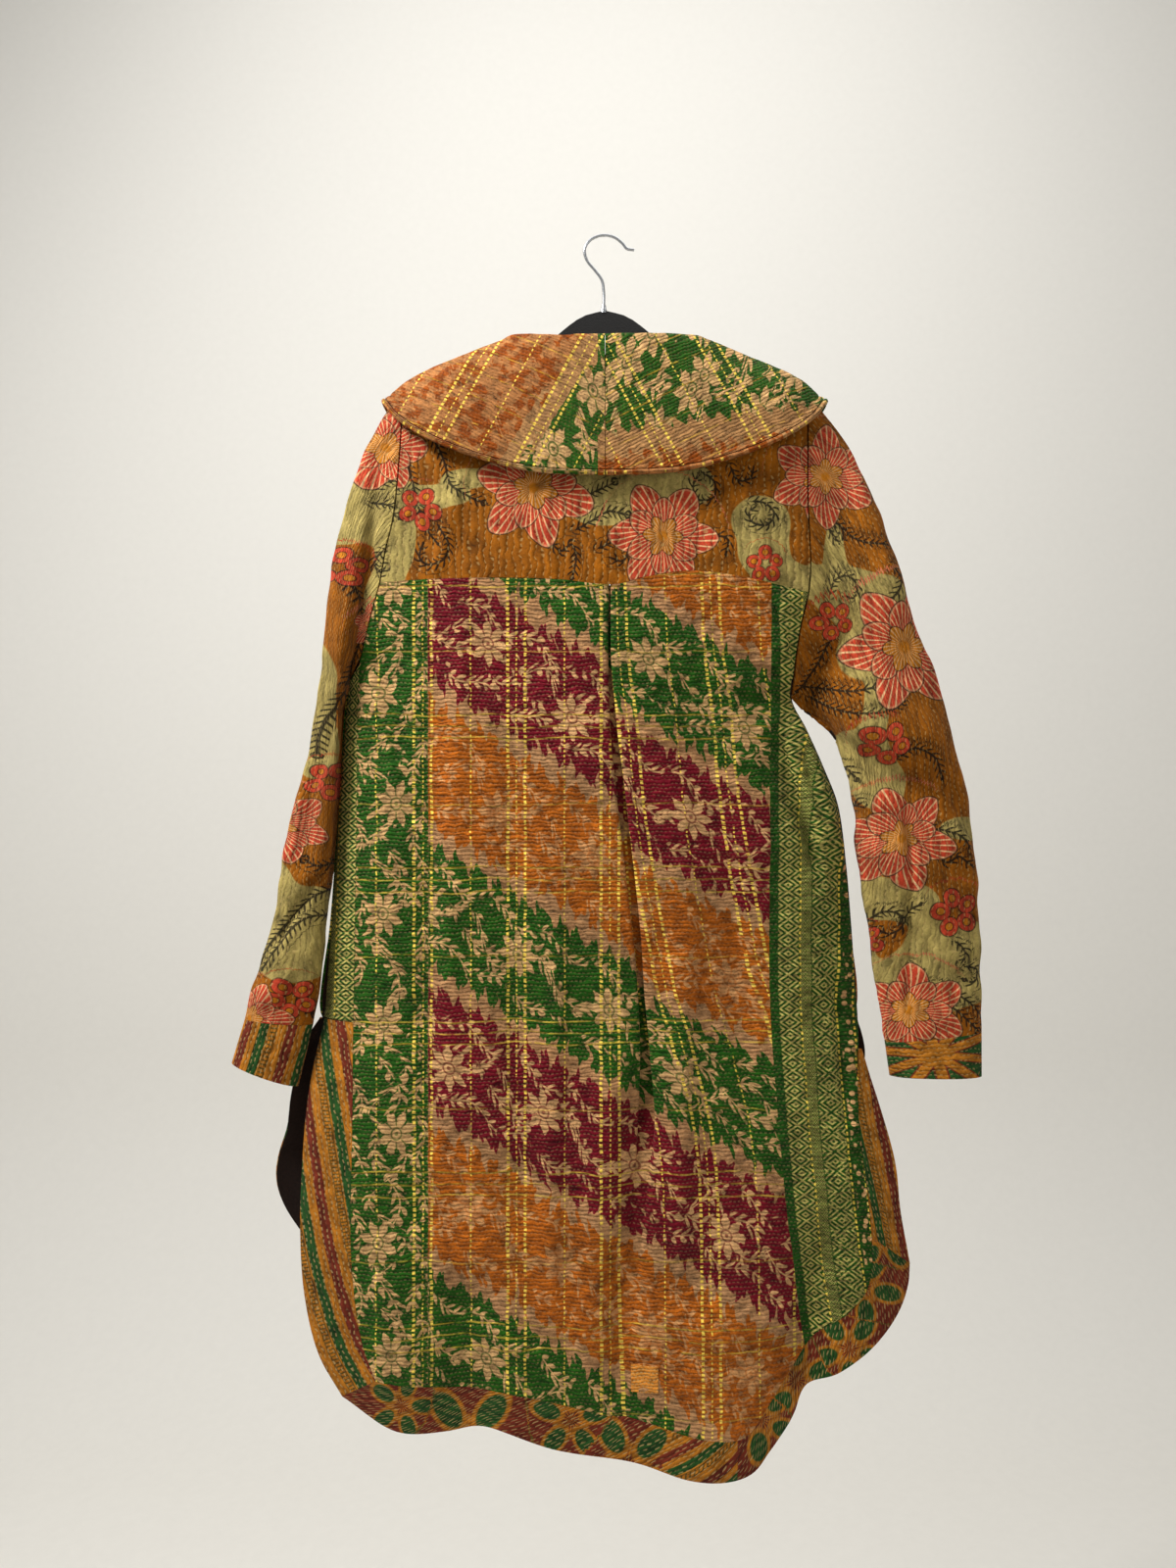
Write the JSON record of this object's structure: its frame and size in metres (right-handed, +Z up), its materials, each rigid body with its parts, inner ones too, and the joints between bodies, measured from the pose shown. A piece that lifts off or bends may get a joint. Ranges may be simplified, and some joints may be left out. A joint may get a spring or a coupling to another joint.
{
  "type": "kantha coat on a hanger",
  "caption": "Quilted patchwork coat with a wide rolled collar, long sleeves, a pleated back and a curved hem, hanging on a slim hanger.",
  "frame": {"origin": "inside the crown of the hook, where a peg or rod bears; the coat hangs below it", "axes": "+Z up, +X to the wearer's right, +Y to the front of the coat, -Y to its back"},
  "size_m": [0.7553, 0.1074, 1.2352],
  "materials": {
    "hanger_velvet": "flocked black velvet, matte",
    "hook_wire": "bright plated wire",
    "floral_cotton": "ochre floral printed cotton, quilted with running stitch",
    "banded_cotton": "green, maroon and orange banded cotton with gold threads, quilted",
    "border_cotton": "striped and daisy bordered cotton, quilted",
    "collar_cotton": "banded cotton on the bias with gold threads, turned double",
    "patch_cotton": "orange mending patch with running stitch"
  },
  "bodies": {
    "root": {"hanger_body": "hanger_velvet", "hanger_hook": "hook_wire", "back_yoke": "floral_cotton", "back_panel": "banded_cotton", "side_strip_left": "banded_cotton", "hem_border_back_left": "border_cotton", "hem_border_back_foot": "border_cotton", "hem_border_back_right": "border_cotton", "front_left": "banded_cotton", "front_right": "banded_cotton", "hem_border_front_left": "border_cotton", "hem_border_front_right": "border_cotton", "sleeve_left": "floral_cotton", "sleeve_right": "floral_cotton", "cuff_left": "border_cotton", "cuff_right": "border_cotton", "collar_left": "collar_cotton", "collar_right": "collar_cotton", "collar_roll_left": "collar_cotton", "collar_roll_right": "collar_cotton", "patch": "patch_cotton"}
  },
  "joints": []
}
